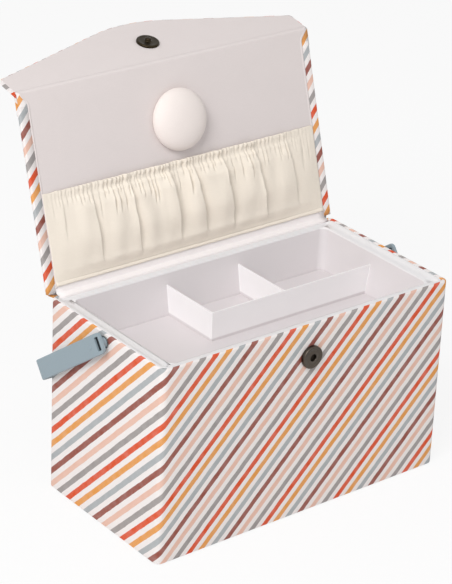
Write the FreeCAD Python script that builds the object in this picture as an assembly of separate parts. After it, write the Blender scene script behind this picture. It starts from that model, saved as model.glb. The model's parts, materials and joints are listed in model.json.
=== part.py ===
import FreeCAD, Part
import math
import os

# Cloth-covered sewing box with a hinged lid, an envelope flap, a lift-out tray and a swing handle.
# Millimetres, +X right, +Y back, +Z up, origin at the middle of the underside.
# Posed as photographed: lid open, flap folded back, handle down behind the box, tray seated.

V = FreeCAD.Vector
X_AXIS = V(1, 0, 0)
Z_AXIS = V(0, 0, 1)
ORIGIN = V(0, 0, 0)

# Shared stock and working values
board = 2.5
cloth = 0.6
overrun = 5.0
fit_clear = 0.1
seat_gap = 0.2
run_clear = 0.4

# Box
box_width = 270.0
box_depth = 140.0
box_height = 160.0
corner_round = 5.0
turn_in = 14.0
turn_under = 12.0
base_sheet_thick = 0.4
base_sheet_inset = 3.0
floor_card_thick = 1.0
liner_board = 2.0

# Tray
tray_wall = 1.2
tray_depth = 33.5
tray_draft_deg = 10.0
tray_corner_round = 6.0
tray_flange_drop = 2.5
tray_margin_side = 13.5
tray_margin_front = 9.0
tray_gap_side = 2.1
tray_gap_front = 0.6
tray_flange_round = 4.0
divider_thick = 1.2
divider_drop = 9.5
cross_divider_left_x = -35.0
cross_divider_right_x = 34.0
long_divider_y = 3.0

# Lid
lid_open_deg = 106.5
lid_overhang = 1.5
lid_margin = 7.5
lid_front_lap = 1.0
hinge_gap = 0.3
hinge_behind = 0.5
hinge_clear = 1.0
hinge_strip_height = 20.0
hinge_lining_reach = 7.0

# Flap and the cloth fold between it and the lid
flap_back_deg = 62.2
flap_stand_off = 6.0
flap_depth = 2.5
fold_rise = 0.8
fold_cloth = 0.8
flap_start = 2.5
flap_side = 22.5
flap_apex = 62.6
flap_tip_round = 115.0
flap_corner_round = 2.5
flap_lining_inset = 0.4

# Magnetic snap
snap_diameter = 18.0
snap_drop = 26.6
socket_thick = 3.6
socket_hole = 5.8
socket_hole_depth = 2.9
socket_lip = 1.2
socket_ring_depth = 0.5
socket_hub = 9.0
stud_thick = 2.0
stud_nub = 4.6
stud_nub_height = 2.4
snap_edge_round = 0.8
prong_width = 2.6
prong_thick = 0.6
prong_spread = 8.0
washer_diameter = 14.0
washer_thick = 0.5
washer_recess = 1.0
washer_room = 0.7
washer_side_room = 2.5

# Pin cushion
cushion_diameter = 48.0
cushion_reach = 106.0
cushion_height = 15.0
cushion_card_thick = 1.2
cushion_card_inset = 2.5
# Half section of the pad from its drawn-in foot to its crown: radius, then height, as shares
cushion_profile_shares = (
    (0.92, 0.00),
    (1.00, 0.14),
    (0.97, 0.40),
    (0.79, 0.75),
    (0.44, 0.96),
    (0.00, 1.00),
)

# Gathered pocket
pocket_side_inset = 0.6
pocket_bottom = 8.2
pocket_top = 75.5
pocket_sheet = 1.0
pocket_swell = 3.4
pocket_crest = 4.4
elastic_width = 3.0
elastic_thick = 0.7
elastic_reach = 70.5
binding_width = 2.4
binding_thick = 1.1
# Widths of the main folds from left to right, as shares of the pocket's width
pocket_fold_shares = (0.06, 0.10, 0.13, 0.15, 0.09, 0.11, 0.13, 0.12, 0.11)
# Rise across one fold from valley to valley: place, then height, as shares
fold_rise_shares = ((0.00, 0.00), (0.22, 0.66), (0.50, 1.00), (0.78, 0.66))
# Height up the pocket, then swell of the valleys, rise of the crests and lift over the elastic
pocket_level_shares = (
    (0.00, 0.00, 0.06, 0.0),
    (0.14, 0.65, 0.55, 0.0),
    (0.42, 1.00, 1.00, 0.0),
    (0.72, 0.60, 0.75, 0.5),
    (0.90, 0.30, 0.22, 1.0),
    (1.00, 0.42, 0.34, 1.0),
)

# Swing handle
handle_down_deg = 36.0
pivot_y = 0.0
pivot_drop = 7.0
strap_width = 16.0
strap_thick = 2.4
strap_gap = 4.1
strap_tip = 5.0
grip_rest_gap = 0.9
strap_bend_round = 6.0
strap_tip_round = 4.0
strap_edge_bevel = 0.7
slot_length = 10.2
slot_width = 5.2
key_clear = 0.15
key_recess = 1.4
gate_mark_diameter = 3.4
gate_mark_height = 0.4
gate_mark_reach = 11.5
pin_diameter = 4.4
pin_collar = 8.0
pin_head = 6.0
pin_head_thick = 0.9
eyelet_bore = 4.8
eyelet_outside = 6.0
eyelet_flange = 9.5
eyelet_flange_thick = 0.8
eyelet_roll = 8.5
eyelet_roll_thick = 0.6
side_liner_clear = 2.0

# Levels and faces that several pieces share
board_bottom = base_sheet_thick + cloth
base_top = board_bottom + board
floor_level = base_top + floor_card_thick
half_width = box_width / 2
half_depth = box_depth / 2
board_half_x = half_width - cloth
board_half_y = half_depth - cloth
inner_half_x = board_half_x - board
inner_half_y = board_half_y - board
mouth_half_x = inner_half_x - cloth
mouth_half_y = inner_half_y - cloth
snap_height = box_height - snap_drop
pivot_height = box_height - pivot_drop
flange_top = box_height - tray_flange_drop
flange_bottom = flange_top - tray_wall
ledge_level = flange_bottom - seat_gap
tray_floor = flange_top - tray_depth
tray_taper = math.tan(math.radians(tray_draft_deg))
opening_half_x = half_width - tray_margin_side
opening_half_y = half_depth - tray_margin_front

lid_half = half_width + lid_overhang
lid_thick = cloth + board + cloth
lining_half = lid_half - lid_margin
hinge_y = half_depth + hinge_behind
hinge_z = box_height + hinge_gap
lid_board_end = box_depth + hinge_behind + lid_front_lap
fold_reach = box_depth + hinge_behind + flap_stand_off + flap_depth
stud_reach = hinge_z + fold_rise - snap_height
pocket_half = lining_half - pocket_side_inset
pocket_width = 2 * pocket_half
strap_outer = half_width + strap_gap + strap_thick
strap_inner = half_width + strap_gap
handle_down = math.radians(handle_down_deg)
grip_behind = half_depth - pivot_y + grip_rest_gap + strap_width / 2 * math.sin(handle_down)
grip_inner = grip_behind / math.cos(handle_down)
strap_reach = grip_inner + strap_thick


def save(name, shape):
    """Write one node and say what it holds."""
    shape.exportStep(os.path.join("parts", name + ".step"))
    print(name, len(shape.Solids), round(shape.Volume, 1), shape.isValid())


def block(x0, x1, y0, y1, z0, z1):
    """A box between two opposite corners."""
    return Part.makeBox(x1 - x0, y1 - y0, z1 - z0, V(x0, y0, z0))


def rod(radius, start, end):
    """A cylinder between two points."""
    return Part.makeCylinder(radius, (end - start).Length, start, end - start)


def filleted(points, radii):
    """A closed wire through the points, each corner rounded by its own radius."""
    count = len(points)
    stretches = []
    for i, corner in enumerate(points):
        radius = radii[i]
        to_last = (points[i - 1] - corner).normalize()
        to_next = (points[(i + 1) % count] - corner).normalize()
        if radius <= 0:
            stretches.append((corner, None, corner))
            continue
        half = to_last.getAngle(to_next) / 2
        reach = radius / math.tan(half)
        middle = (to_last + to_next).normalize()
        inset = radius / math.sin(half) - radius
        stretches.append((corner + to_last * reach, corner + middle * inset, corner + to_next * reach))
    edges = []
    for i, (first, middle, last) in enumerate(stretches):
        if middle is not None:
            edges.append(Part.Arc(first, middle, last).toShape())
        following = stretches[(i + 1) % count][0]
        if last.distanceToPoint(following) > Part.Precision.confusion():
            edges.append(Part.LineSegment(last, following).toShape())
    return Part.Wire(edges)


def rounded_rectangle(half_x, half_y, radius, z):
    """A rounded rectangle about the Z axis."""
    corners = [V(half_x, half_y, z), V(-half_x, half_y, z), V(-half_x, -half_y, z), V(half_x, -half_y, z)]
    return filleted(corners, [radius] * len(corners))


def rounded_prism(half_x, half_y, radius, z0, z1):
    """A rounded rectangle pulled up from one level to another."""
    return Part.Face(rounded_rectangle(half_x, half_y, radius, z0)).extrude(V(0, 0, z1 - z0))


def centred_prism(half_x, half_y, z0, z1):
    """A square-cornered block about the Z axis."""
    return block(-half_x, half_x, -half_y, half_y, z0, z1)


def spun(points_and_arcs):
    """Spin a half section, drawn in X and Z, round the Z axis."""
    return Part.Face(Part.Wire(points_and_arcs)).revolve(ORIGIN, Z_AXIS, 360)


def line(a, b):
    return Part.LineSegment(a, b).toShape()


def arc(a, b, c):
    return Part.Arc(a, b, c).toShape()


def on_lid(shape):
    """Swing a lid piece from the closed lid, drawn with the hinge at the origin, to where it is shown."""
    placed = shape.copy()
    placed.rotate(ORIGIN, X_AXIS, -lid_open_deg)
    placed.translate(V(0, hinge_y, hinge_z))
    return placed


def on_flap(shape):
    """Fold a flap piece, drawn level with its fold at the origin, back from the open lid."""
    placed = shape.copy()
    placed.rotate(ORIGIN, X_AXIS, -flap_back_deg)
    placed.translate(V(0, -fold_reach, fold_rise))
    return on_lid(placed)


def on_handle(shape):
    """Swing a handle piece, drawn level with its pivot at the origin, down behind the box."""
    placed = shape.copy()
    placed.rotate(ORIGIN, X_AXIS, -handle_down_deg)
    placed.translate(V(0, pivot_y, pivot_height))
    return placed


def pivot_hole(radius):
    """A hole along the pivot, right through both sides."""
    reach = half_width + overrun
    return rod(radius, V(-reach, pivot_y, pivot_height), V(reach, pivot_y, pivot_height))


def prong_slots(depth_start, depth_end, clear):
    """Two slots for the snap's prongs, drawn about the Z axis."""
    slots = []
    for side in (-1, 1):
        at = side * prong_spread / 2
        slots.append(block(
            at - prong_thick / 2 - clear, at + prong_thick / 2 + clear,
            -prong_width / 2 - clear, prong_width / 2 + clear, depth_start, depth_end))
    return slots


def on_front(shape):
    """Stand a piece drawn with +Z out of the work on the front of the box, at the snap."""
    placed = shape.copy()
    placed.rotate(ORIGIN, X_AXIS, 90)
    placed.translate(V(0, -half_depth, snap_height))
    return placed


def on_flap_inside(shape):
    """Place a piece drawn with +Z out of the work on the flap's lined side, at the snap."""
    placed = shape.copy()
    placed.rotate(ORIGIN, X_AXIS, 180)
    placed.translate(V(0, -stud_reach, -flap_depth))
    return placed


def box_boards():
    """Four wall boards and the base board."""
    wall_top = box_height - cloth
    ring = rounded_prism(board_half_x, board_half_y, corner_round - cloth, board_bottom, wall_top)
    ring = ring.cut(centred_prism(inner_half_x, inner_half_y, -overrun, box_height + overrun))
    ring = ring.cut(pivot_hole(eyelet_outside / 2 + fit_clear))
    slots = [on_front(s) for s in prong_slots(-cloth - board - overrun, overrun, fit_clear)]
    reach = box_width
    front_side = block(-reach, reach, -reach, -inner_half_y, -overrun, box_height)
    back_side = block(-reach, reach, inner_half_y, reach, -overrun, box_height)
    left_side = block(-reach, 0, -inner_half_y, inner_half_y, -overrun, box_height)
    right_side = block(0, reach, -inner_half_y, inner_half_y, -overrun, box_height)
    save("front_board", ring.common(front_side).cut(slots))
    save("back_board", ring.common(back_side))
    save("left_board", ring.common(left_side))
    save("right_board", ring.common(right_side))
    save("base_board", centred_prism(inner_half_x, inner_half_y, board_bottom, base_top))


def box_cover():
    """Printed cloth round the walls, turned over the rim and under the base."""
    cover = rounded_prism(half_width, half_depth, corner_round, base_sheet_thick, box_height)
    wall_top = box_height - cloth
    walls = rounded_prism(board_half_x, board_half_y, corner_round - cloth, board_bottom, wall_top)
    inside = centred_prism(inner_half_x, inner_half_y, -overrun, box_height - turn_in)
    mouth = centred_prism(mouth_half_x, mouth_half_y, -overrun, box_height + overrun)
    lip = centred_prism(inner_half_x, inner_half_y, box_height - turn_in, wall_top)
    under = centred_prism(half_width - turn_under, half_depth - turn_under, -overrun, board_bottom)
    hem = rounded_prism(half_width, half_depth, corner_round, base_sheet_thick, board_bottom).cut(under)
    upper = cover.cut(walls.cut(lip)).cut(inside).cut(mouth)
    cover = upper.fuse(hem).fuse(lip.cut(mouth)).removeSplitter()
    cover = cover.cut(pivot_hole(eyelet_outside / 2 + fit_clear))
    cover = cover.cut([on_front(s) for s in prong_slots(-cloth - overrun, overrun, fit_clear)])
    save("outer_cover", cover)
    save("base_sheet", centred_prism(
        half_width - base_sheet_inset, half_depth - base_sheet_inset, 0, base_sheet_thick))


def box_lining():
    """Floor card and the four inner boards; the front and back ones carry the tray's flange."""
    save("floor_card", centred_prism(inner_half_x, inner_half_y, base_top, floor_level))
    liner_y = mouth_half_y - liner_board
    front = block(-mouth_half_x, mouth_half_x, -mouth_half_y, -liner_y, floor_level, ledge_level)
    back = block(-mouth_half_x, mouth_half_x, liner_y, mouth_half_y, floor_level, ledge_level)
    recess = rod(washer_diameter / 2 + washer_side_room, V(0, -half_depth, snap_height),
                 V(0, -inner_half_y + washer_thick + washer_room, snap_height))
    save("front_liner", front.cut(recess))
    save("back_liner", back)
    side_top = pivot_height - eyelet_roll / 2 - side_liner_clear
    for side, name in ((-1, "left_liner"), (1, "right_liner")):
        outer = side * mouth_half_x
        inner = side * (mouth_half_x - liner_board)
        save(name, block(min(outer, inner), max(outer, inner), -liner_y, liner_y, floor_level, side_top))


def tray():
    """One moulding: flange, drafted walls, floor and three dividers."""
    inset = tray_depth * tray_taper
    hollow = Part.makeLoft([
        rounded_rectangle(opening_half_x - inset, opening_half_y - inset, tray_corner_round, tray_floor),
        rounded_rectangle(opening_half_x, opening_half_y, tray_corner_round, flange_top)], True, True)
    outer_round = tray_corner_round + tray_wall
    low_inset = inset + tray_wall * tray_taper - tray_wall
    body = Part.makeLoft([
        rounded_rectangle(opening_half_x - low_inset, opening_half_y - low_inset, outer_round,
                          tray_floor - tray_wall),
        rounded_rectangle(opening_half_x + tray_wall, opening_half_y + tray_wall, outer_round, flange_top)],
        True, True)
    divider_top = flange_top - divider_drop
    half_thick = divider_thick / 2
    low = tray_floor - tray_wall / 2
    dividers = [block(cross_divider_left_x - half_thick, box_width, long_divider_y - half_thick,
                      long_divider_y + half_thick, low, divider_top)]
    for x in (cross_divider_left_x, cross_divider_right_x):
        dividers.append(block(x - half_thick, x + half_thick, long_divider_y, box_depth, low, divider_top))
    flange = rounded_prism(mouth_half_x - tray_gap_side, mouth_half_y - tray_gap_front, tray_flange_round,
                           flange_bottom, flange_top)
    inside = [d.common(body) for d in dividers]
    shell = flange.fuse(body).cut(hollow)
    save("tray", shell.fuse(inside).removeSplitter())


def handle_eyelets():
    """Metal eyelets that line the pivot holes."""
    for side, name in ((-1, "eyelet_left"), (1, "eyelet_right")):
        wall_out = V(side * half_width, pivot_y, pivot_height)
        wall_in = V(side * mouth_half_x, pivot_y, pivot_height)
        out_face = wall_out + V(side * eyelet_flange_thick, 0, 0)
        in_face = wall_in - V(side * eyelet_roll_thick, 0, 0)
        tube = rod(eyelet_outside / 2, in_face, out_face)
        flange = rod(eyelet_flange / 2, wall_out, out_face)
        roll = rod(eyelet_roll / 2, in_face, wall_in)
        save(name, tube.fuse([flange, roll]).removeSplitter().cut(pivot_hole(eyelet_bore / 2)))


def handle():
    """A flat strap bent to a U, slotted at both ends."""
    corners = [V(-strap_outer, -strap_tip, 0), V(-strap_outer, strap_reach, 0),
               V(strap_outer, strap_reach, 0), V(strap_outer, -strap_tip, 0),
               V(strap_inner, -strap_tip, 0), V(strap_inner, grip_inner, 0),
               V(-strap_inner, grip_inner, 0), V(-strap_inner, -strap_tip, 0)]
    inner_bend = strap_bend_round - strap_thick
    bends = [0, strap_bend_round, strap_bend_round, 0, 0, inner_bend, inner_bend, 0]
    half = strap_width / 2
    strap = Part.Face(filleted(corners, bends)).extrude(V(0, 0, strap_width))
    strap.translate(V(0, 0, -half))
    rims = []
    for edge in strap.Edges:
        middle = edge.CenterOfMass
        if abs(middle.z) > half / 2 and middle.y > -strap_tip / 2:
            rims.append(edge)
    strap = strap.makeChamfer(strap_edge_bevel, rims)
    side_points = [V(-strap_outer, -strap_tip, -half), V(-strap_outer, strap_reach, -half),
                   V(-strap_outer, strap_reach, half), V(-strap_outer, -strap_tip, half)]
    tip_rounds = [strap_tip_round, 0, 0, strap_tip_round]
    side_view = Part.Face(filleted(side_points, tip_rounds))
    strap = strap.common(side_view.extrude(V(2 * strap_outer, 0, 0)))
    for side in (-1, 1):
        strap = strap.cut(block(
            side * strap_outer - strap_thick - overrun, side * strap_outer + strap_thick + overrun,
            -slot_width / 2, slot_width / 2, -slot_length / 2, slot_length / 2))
        mark_start = V(side * (strap_outer - strap_thick / 2), gate_mark_reach, 0)
        mark_end = V(side * (strap_outer + gate_mark_height), gate_mark_reach, 0)
        strap = strap.fuse(rod(gate_mark_diameter / 2, mark_start, mark_end)).removeSplitter()
    save("handle", on_handle(strap))
    for side, name in ((-1, "handle_pin_left"), (1, "handle_pin_right")):
        head_in = side * (mouth_half_x - eyelet_roll_thick - seat_gap)
        head_end = head_in - side * pin_head_thick
        collar_in = side * (half_width + eyelet_flange_thick + seat_gap)
        strap_face = side * strap_inner
        key_face = side * (strap_outer - key_recess)
        pin = rod(pin_diameter / 2, V(head_end, 0, 0), V(strap_face, 0, 0))
        head = rod(pin_head / 2, V(head_end, 0, 0), V(head_in, 0, 0))
        collar = rod(pin_collar / 2, V(collar_in, 0, 0), V(strap_face, 0, 0))
        key = block(min(strap_face, key_face), max(strap_face, key_face),
                    -slot_width / 2 + key_clear, slot_width / 2 - key_clear,
                    -slot_length / 2 + key_clear, slot_length / 2 - key_clear)
        save(name, on_handle(pin.fuse([head, collar, key]).removeSplitter()))


def lid_panels():
    """Lid board, its printed cover and the plain lining, drawn as on the closed lid."""
    core_half = lid_half - cloth
    core = block(-core_half, core_half, -lid_board_end, -hinge_clear - cloth, cloth, cloth + board)
    save("lid_board", on_lid(core))
    cover = block(-lid_half, lid_half, -lid_board_end, -hinge_clear, 0, lid_thick)
    lined = block(-lining_half, lining_half, -lid_board_end - overrun, overrun, -overrun, cloth)
    lining = block(-lining_half, lining_half, -lid_board_end, -hinge_lining_reach, 0, cloth)
    hinge_strip = block(-lining_half, lining_half, -hinge_lining_reach, -hinge_clear, 0, cloth)
    save("lid_cover", on_lid(cover.cut(core).cut(lined)))
    save("lid_lining", on_lid(lining))
    save("hinge_lining", on_lid(hinge_strip))


def cloth_hinges():
    """The cloth that bends: at the back edge of the box and between the lid and the flap."""
    strip_foot = box_height - hinge_strip_height
    strip = block(-half_width, half_width, half_depth, half_depth + cloth, strip_foot, hinge_z)
    bend = rod(hinge_behind, V(-half_width, hinge_y, hinge_z), V(half_width, hinge_y, hinge_z))
    save("hinge_cloth", strip.fuse(bend).removeSplitter())
    half_fold = fold_cloth / 2
    level = V(0, -fold_reach, fold_rise)
    bead = rod(half_fold, level + V(-lid_half, 0, 0), level + V(lid_half, 0, 0))
    sheet = block(-lid_half, lid_half, -fold_reach, -lid_board_end,
                  fold_rise - half_fold, fold_rise + half_fold)
    save("fold_cloth", on_lid(sheet.fuse(bead).removeSplitter()))
    roll_end = fold_reach - half_fold - run_clear
    roll_top = fold_rise - half_fold - fit_clear
    crown = -hinge_gap / 2
    middle = (lid_board_end + roll_end) / 2
    section = Part.Wire([
        line(V(-lining_half, -lid_board_end, roll_top), V(-lining_half, -lid_board_end, 0)),
        arc(V(-lining_half, -lid_board_end, 0), V(-lining_half, -middle, crown),
            V(-lining_half, -roll_end, 0)),
        line(V(-lining_half, -roll_end, 0), V(-lining_half, -roll_end, roll_top)),
        line(V(-lining_half, -roll_end, roll_top), V(-lining_half, -lid_board_end, roll_top))])
    save("fold_lining", on_lid(Part.Face(section).extrude(V(2 * lining_half, 0, 0))))


def flap_outline(z):
    """The envelope flap's outline, from its straight edge at the fold to its rounded tip."""
    points = [V(-lid_half, -flap_start, z), V(-lid_half, -flap_side, z), V(0, -flap_apex, z),
              V(lid_half, -flap_side, z), V(lid_half, -flap_start, z)]
    return filleted(points, [0, flap_corner_round, flap_tip_round, flap_corner_round, 0])


def flap_panels():
    """Flap board, printed cover and lining, drawn level with the fold at the origin."""
    bottom = -flap_depth
    whole = Part.Face(flap_outline(bottom)).extrude(V(0, 0, lid_thick))
    core_face = Part.Face(flap_outline(bottom + cloth).makeOffset2D(-cloth))
    core = core_face.extrude(V(0, 0, board))
    lining_face = Part.Face(flap_outline(bottom).makeOffset2D(-flap_lining_inset))
    lining = lining_face.extrude(V(0, 0, cloth))
    through = [on_flap_inside(s) for s in prong_slots(-lid_thick - overrun, overrun, fit_clear)]
    pocket = on_flap_inside(rod(washer_diameter / 2 + fit_clear, V(0, 0, -cloth - board),
                                V(0, 0, -cloth - board + washer_recess)))
    save("flap_board", on_flap(core.cut(through).cut(pocket)))
    save("flap_lining", on_flap(lining.cut(through)))
    cover = whole.cut(core).cut(lining)
    half_fold = fold_cloth / 2
    tongue = block(-lid_half, lid_half, -flap_start, 0, -half_fold, half_fold)
    tongue = tongue.cut(rod(half_fold + run_clear, V(-box_width, 0, 0), V(box_width, 0, 0)))
    save("flap_cover", on_flap(cover.fuse(tongue).removeSplitter()))


def snap_washer(back):
    """A prong washer whose far face is at the given depth, drawn about the Z axis."""
    disc = rod(washer_diameter / 2, V(0, 0, back), V(0, 0, back + washer_thick))
    return disc.cut(prong_slots(back - overrun, back + washer_thick + overrun, fit_clear))


def snap_prongs(back):
    """Two prongs from the snap's seat to the given depth, drawn about the Z axis."""
    return prong_slots(back, 0, 0)


def snap():
    """Magnetic snap: a socket on the front and a stud on the flap, each pronged through to a washer."""
    radius = snap_diameter / 2
    hole = socket_hole / 2
    hub = socket_hub / 2
    lip = radius - socket_lip
    top = socket_thick
    ring = socket_thick - socket_ring_depth
    points = [ORIGIN, V(radius, 0, 0), V(radius, 0, top - snap_edge_round),
              V(radius - snap_edge_round, 0, top), V(lip - snap_edge_round, 0, top),
              V(lip - snap_edge_round, 0, ring), V(hub, 0, ring), V(hole, 0, top),
              V(hole, 0, top - socket_hole_depth), V(0, 0, top - socket_hole_depth)]
    socket = spun([line(a, b) for a, b in zip(points, points[1:] + points[:1])])
    wall_back = -cloth - board - washer_thick
    save("snap_socket", on_front(socket.fuse(snap_prongs(wall_back)).removeSplitter()))
    save("snap_socket_washer", on_front(snap_washer(wall_back)))
    nub = stud_nub / 2
    nub_top = stud_thick + stud_nub_height
    points = [ORIGIN, V(radius, 0, 0), V(radius, 0, stud_thick - snap_edge_round),
              V(radius - snap_edge_round, 0, stud_thick), V(nub, 0, stud_thick),
              V(nub, 0, nub_top - snap_edge_round), V(nub - snap_edge_round, 0, nub_top), V(0, 0, nub_top)]
    stud = spun([line(a, b) for a, b in zip(points, points[1:] + points[:1])])
    flap_back = -cloth - board + washer_recess - washer_thick
    save("snap_stud", on_flap(on_flap_inside(stud.fuse(snap_prongs(flap_back)).removeSplitter())))
    save("snap_stud_washer", on_flap(on_flap_inside(snap_washer(flap_back))))


def on_lid_inside(shape, reach):
    """Place a piece drawn with +Z out of the work on the lid's lined side, at a distance from the hinge."""
    placed = shape.copy()
    placed.rotate(ORIGIN, X_AXIS, 180)
    placed.translate(V(0, -reach, 0))
    return on_lid(placed)


def pin_cushion():
    """A card disc with a stuffed, cloth-covered dome drawn in at its foot."""
    radius = cushion_diameter / 2
    card = rod(radius - cushion_card_inset, ORIGIN, V(0, 0, cushion_card_thick))
    save("cushion_card", on_lid_inside(card, cushion_reach))
    rise = cushion_height - cushion_card_thick
    points = [V(0, 0, cushion_card_thick)]
    for out, up in cushion_profile_shares:
        points.append(V(out * radius, 0, cushion_card_thick + up * rise))
    pad = spun([line(a, b) for a, b in zip(points, points[1:] + points[:1])])
    save("cushion_pad", on_lid_inside(pad, cushion_reach))


def side_fade(x):
    """How far the pocket stands off the lid: fully at its middle, not at all at its sewn ends."""
    return 1 - abs(x / pocket_half) ** 3


def pocket_section(level, swell, crest, lift):
    """One level of the gathered sheet: outer folds, then the inner face that runs parallel."""
    outer = []
    start = -pocket_half
    for share in pocket_fold_shares:
        width = share * pocket_width
        for along, rise in fold_rise_shares:
            x = start + along * width
            stand = lift + (swell + rise * crest) * side_fade(x)
            outer.append(V(x, -level, -pocket_sheet - stand))
        start += width
    outer.append(V(pocket_half, -level, -pocket_sheet - lift))
    inner = [point + V(0, 0, pocket_sheet) for point in reversed(outer)]
    return Part.makePolygon(outer + inner + outer[:1])


def pocket():
    """Gathered cloth pocket with its elastic and the binding along its foot."""
    height = pocket_top - pocket_bottom
    sections = []
    over_elastic = elastic_thick + fit_clear
    for up, swell, crest, lift in pocket_level_shares:
        sections.append(pocket_section(
            pocket_bottom + up * height, swell * pocket_swell, crest * pocket_crest, lift * over_elastic))
    save("pocket", on_lid(Part.makeLoft(sections, True, True)))
    half_band = elastic_width / 2
    save("pocket_elastic", on_lid(block(-pocket_half, pocket_half, -elastic_reach - half_band,
                                        -elastic_reach + half_band, -elastic_thick, 0)))
    start = pocket_bottom - binding_width - fit_clear
    end = pocket_bottom - fit_clear
    crown = arc(V(-pocket_half, -start, 0), V(-pocket_half, -(start + end) / 2, -binding_thick),
                V(-pocket_half, -end, 0))
    foot = line(V(-pocket_half, -end, 0), V(-pocket_half, -start, 0))
    save("pocket_binding", on_lid(Part.Face(Part.Wire([crown, foot])).extrude(V(pocket_width, 0, 0))))


def main():
    os.makedirs("parts", exist_ok=True)
    box_boards()
    box_cover()
    box_lining()
    tray()
    handle_eyelets()
    handle()
    lid_panels()
    cloth_hinges()
    flap_panels()
    snap()
    pin_cushion()
    pocket()


main()
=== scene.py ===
import json
import math
import random
from collections import namedtuple

import bmesh
import bpy
from mathutils import Matrix, Vector, noise


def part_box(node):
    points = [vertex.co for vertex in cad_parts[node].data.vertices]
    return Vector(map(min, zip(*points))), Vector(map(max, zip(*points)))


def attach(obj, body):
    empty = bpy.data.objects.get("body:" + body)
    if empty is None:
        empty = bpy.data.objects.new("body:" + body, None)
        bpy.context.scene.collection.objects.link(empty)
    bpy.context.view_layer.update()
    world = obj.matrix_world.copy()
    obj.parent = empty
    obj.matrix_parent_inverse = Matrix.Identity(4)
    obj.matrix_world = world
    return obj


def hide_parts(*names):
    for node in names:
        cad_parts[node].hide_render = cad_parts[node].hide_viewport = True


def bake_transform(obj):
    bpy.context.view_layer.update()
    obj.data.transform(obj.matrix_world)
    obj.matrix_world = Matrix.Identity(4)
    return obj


# Cloth-covered sewing box: printed cloth, gathered pocket, pin cushion, milky tray and strap handle.
# Metres throughout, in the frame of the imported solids.
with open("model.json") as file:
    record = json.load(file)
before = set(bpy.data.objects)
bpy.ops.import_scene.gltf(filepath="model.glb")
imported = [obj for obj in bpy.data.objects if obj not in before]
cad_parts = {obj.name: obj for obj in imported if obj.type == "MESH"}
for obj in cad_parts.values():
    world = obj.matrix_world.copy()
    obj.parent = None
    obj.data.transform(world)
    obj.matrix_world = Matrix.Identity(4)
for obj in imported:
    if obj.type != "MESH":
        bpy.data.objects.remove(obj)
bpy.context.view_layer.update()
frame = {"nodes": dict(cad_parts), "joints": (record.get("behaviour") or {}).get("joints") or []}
MM = 0.001

# Joints, and the directions along and out of the lid and the flap as they are shown
JOINTS = {joint["name"]: joint for joint in frame["joints"]}
HINGE = Vector(JOINTS["lid_hinge"]["pos_m"])
FOLD = Vector(JOINTS["flap_fold"]["pos_m"])
LID_OPEN = math.radians(JOINTS["lid_hinge"]["range_deg"][1])
FLAP_BACK = math.radians(JOINTS["flap_fold"]["range_deg"][1] - 90)


def swung_back(angle):
    """Directions along and out of a panel that has swung back by this angle from lying forward."""
    along = Vector((0, -math.cos(angle), math.sin(angle)))
    out = Vector((0, math.sin(angle), math.cos(angle)))
    return along, out


LID_ALONG, LID_OUT = swung_back(LID_OPEN)
FLAP_ALONG, FLAP_OUT = swung_back(LID_OPEN + FLAP_BACK)


def on_lid(x, along, out):
    """A point by its distance across the lid, along it from the hinge and out of its lined face."""
    return HINGE + Vector((x, 0, 0)) + LID_ALONG * along + LID_OUT * out


def on_flap(x, along, out):
    """A point by its distance across the flap, along it from the fold and out of the fold's level."""
    return FOLD + Vector((x, 0, 0)) + FLAP_ALONG * along + FLAP_OUT * out


def lid_side(along, out):
    """A point of the lid's middle plane as Y and Z."""
    point = on_lid(0, along, out)
    return (point.y, point.z)


def flap_side(along, out):
    """A point of the flap's middle plane as Y and Z."""
    point = on_flap(0, along, out)
    return (point.y, point.z)


def span(node, start, direction):
    """Least and greatest distance of a CAD node from a point, along a direction."""
    reach = [(vert.co - start).dot(direction) for vert in frame["nodes"][node].data.vertices]
    return min(reach), max(reach)


# Sizes taken from the solids
COVER_LOW, COVER_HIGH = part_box("outer_cover")
HALF_WIDTH = COVER_HIGH.x
HALF_DEPTH = COVER_HIGH.y
HEM_LEVEL = COVER_LOW.z
RIM_LEVEL = COVER_HIGH.z
LID_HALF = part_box("lid_cover")[1].x
LINING_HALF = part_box("lid_lining")[1].x
LID_THICK = span("lid_cover", HINGE, LID_OUT)[1]
FOLD_REACH = (FOLD - HINGE).dot(LID_ALONG)
FLAP_FACE, FLAP_BACK_FACE = span("flap_cover", FOLD, FLAP_OUT)
FLAP_LINING_START = span("flap_lining", FOLD, FLAP_ALONG)[0]
POCKET_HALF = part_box("pocket")[1].x
POCKET_FOOT, POCKET_TOP = span("pocket", HINGE, LID_ALONG)
CUSHION_REACH = sum(span("cushion_pad", HINGE, LID_ALONG)) / 2
CUSHION_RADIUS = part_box("cushion_pad")[1].x
CUSHION_RISE = -span("cushion_pad", HINGE, LID_OUT)[0]

# Sizes of the cloth work that the solids leave plain
CLOTH = 0.6 * MM
LINING_CLOTH = 0.3 * MM
CORNER_ROUND = 5.0 * MM
TURN_UNDER = 12.0 * MM
TURN_IN = 14.0 * MM
RIM_WIDTH = 3.7 * MM
RIM_ROUND = 1.6 * MM
HEM_ROUND = 1.0 * MM
EDGE_ROUND = 1.3 * MM
LID_MARGIN_LAP = 2.0 * MM
WELD = 0.001 * MM
COARSE_STEP = 9.0 * MM
FINE_STEP = 2.0 * MM
LINING_STEP = 1.0 * MM
FOLD_STEP = 0.7 * MM

# Softened edges of the pieces that keep the shape of their solid
CLOTH_EASE = 0.5 * MM
LINING_EASE = 0.25 * MM
TRAY_EASE = 0.35 * MM
HANDLE_EASE = 0.2 * MM
MOULDED_EDGE_DEG = 25

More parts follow.
